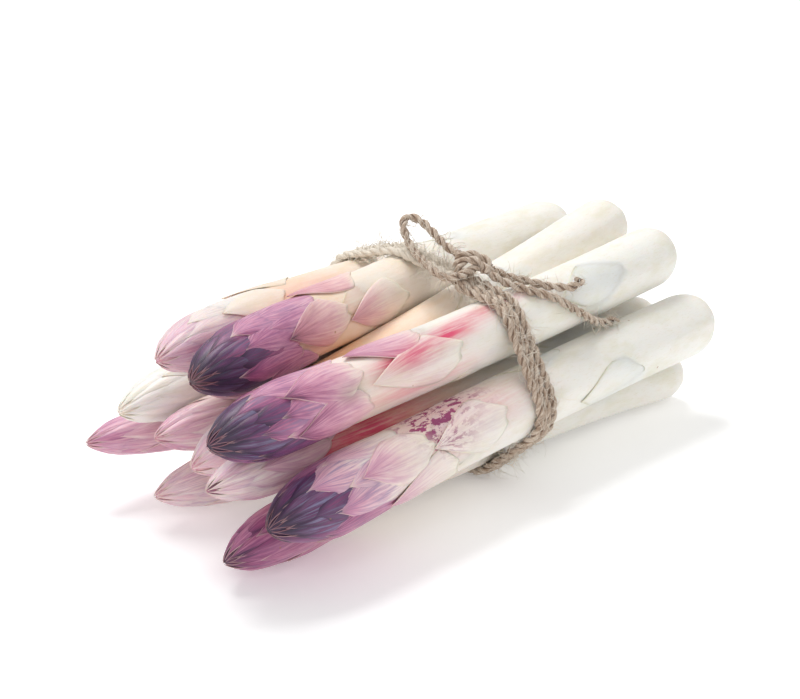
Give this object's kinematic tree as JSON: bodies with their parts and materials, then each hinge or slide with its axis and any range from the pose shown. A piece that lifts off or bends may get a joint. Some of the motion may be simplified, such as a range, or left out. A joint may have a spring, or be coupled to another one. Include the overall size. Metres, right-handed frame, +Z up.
{
  "type": "bundle of white asparagus",
  "caption": "Bunch of white asparagus spears with violet tips, tied round the middle with jute twine in a bow, lying on its side.",
  "frame": {"origin": "on the surface that the bunch lies on, under the middle of the bunch without its free twine", "axes": "+X along the spears from the tips to the cut ends, -Y towards the bunch's front, +Z up from the surface"},
  "size_m": [0.2228, 0.1024, 0.0772],
  "materials": {
    "spear": "moist ivory plant skin, violet towards the tip",
    "scale_leaf": "thin satin scale leaf, mauve with paler margins",
    "jute_twine": "rough two-ply jute with loose fibres"
  },
  "bodies": {
    "root": {"spear_top": "spear", "spear_upper_front": "spear", "spear_front": "spear", "spear_upper_back": "spear", "spear_middle": "spear", "spear_back": "spear", "spear_inner_front": "spear", "spear_inner_back": "spear", "spear_low_front": "spear", "spear_low_middle": "spear", "spear_low_back": "spear", "spear_core_low": "spear", "spear_core_high": "spear", "scale_leaf_top_1": "scale_leaf", "scale_leaf_top_2": "scale_leaf", "scale_leaf_top_3": "scale_leaf", "scale_leaf_upper_front_1": "scale_leaf", "scale_leaf_upper_front_2": "scale_leaf", "scale_leaf_upper_front_3": "scale_leaf", "scale_leaf_upper_front_4": "scale_leaf", "scale_leaf_front_1": "scale_leaf", "scale_leaf_front_2": "scale_leaf", "scale_leaf_front_3": "scale_leaf", "scale_leaf_upper_back_1": "scale_leaf", "scale_leaf_upper_back_2": "scale_leaf", "scale_leaf_back_1": "scale_leaf", "scale_leaf_inner_back_1": "scale_leaf", "scale_leaf_low_front_1": "scale_leaf", "scale_leaf_low_middle_1": "scale_leaf", "scale_leaf_low_back_1": "scale_leaf", "scale_leaf_low_back_2": "scale_leaf", "twine_turns": "jute_twine", "twine_knot": "jute_twine", "twine_bow_loop": "jute_twine", "twine_short_end": "jute_twine", "twine_long_end": "jute_twine"}
  },
  "joints": []
}
